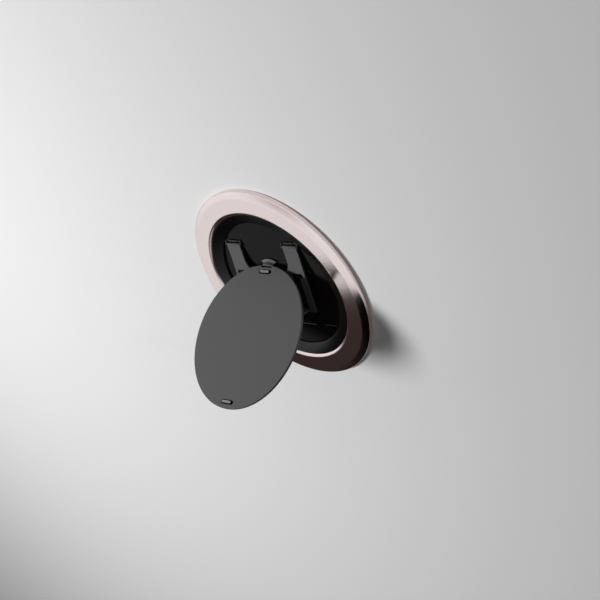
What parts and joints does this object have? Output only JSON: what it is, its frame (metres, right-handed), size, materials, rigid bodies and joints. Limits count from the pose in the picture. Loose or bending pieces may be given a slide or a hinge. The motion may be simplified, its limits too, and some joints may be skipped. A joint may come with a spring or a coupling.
{
  "type": "phone grip",
  "caption": "Slim magnetic phone grip: a round metal ring with a shallow recess and a disc that folds out on hinged straps as a finger grip or stand.",
  "frame": {"origin": "centre of the flat back face", "axes": "+Z out of the back of the phone, +Y towards the base hinges of the straps, +X to the right seen from the front with +Y up"},
  "size_m": [0.058, 0.058, 0.0336],
  "materials": {
    "rose_metal": "satin",
    "magnet": "nickel plated",
    "steel": "satin",
    "soft_pad": "matte",
    "black_liner": "satin",
    "gloss_floor": "gloss",
    "strap_grey": "matte",
    "disc_grey": "matte",
    "strip_grey": "satin"
  },
  "bodies": {
    "ring": {"outer_ring": "rose_metal", "ring_magnets": "magnet", "shunt_ring": "steel", "rear_pad": "soft_pad", "cone_liner": "black_liner", "floor_plate": "gloss_floor", "closing_catch": "steel", "hinge_clip_left": "strap_grey", "hinge_clip_right": "strap_grey", "base_pin_left": "steel", "base_pin_right": "steel"},
    "straps": {"arm_frame": "strap_grey", "knee_pin_left": "steel", "knee_pin_right": "steel"},
    "links": {"link_left": "strap_grey", "link_right": "strap_grey", "disc_pin_left": "steel", "disc_pin_right": "steel"},
    "disc": {"disc_lug_left": "strap_grey", "disc_lug_right": "strap_grey", "grip_disc": "disc_grey", "pull_strip": "strip_grey"}
  },
  "joints": [
    {"name": "strap_hinge", "type": "hinge", "parent": "ring", "child": "straps", "pos_m": [0, 0.0122, 0.001], "axis": [1, 0, 0], "range_deg": [0, 10]},
    {"name": "knee_hinge", "type": "hinge", "parent": "straps", "child": "links", "pos_m": [0, -0.00523, 0.00407], "axis": [1, 0, 0], "range_deg": [-86, 0]},
    {"name": "disc_hinge", "type": "hinge", "parent": "links", "child": "disc", "pos_m": [0, -0.00286, 0.01358], "axis": [1, 0, 0], "range_deg": [0, 131]}
  ],
  "couplings": [
    {"joint": "strap_hinge", "follows": "knee_hinge", "ratio": -0.11627},
    {"joint": "disc_hinge", "follows": "knee_hinge", "ratio": -1.5232}
  ]
}
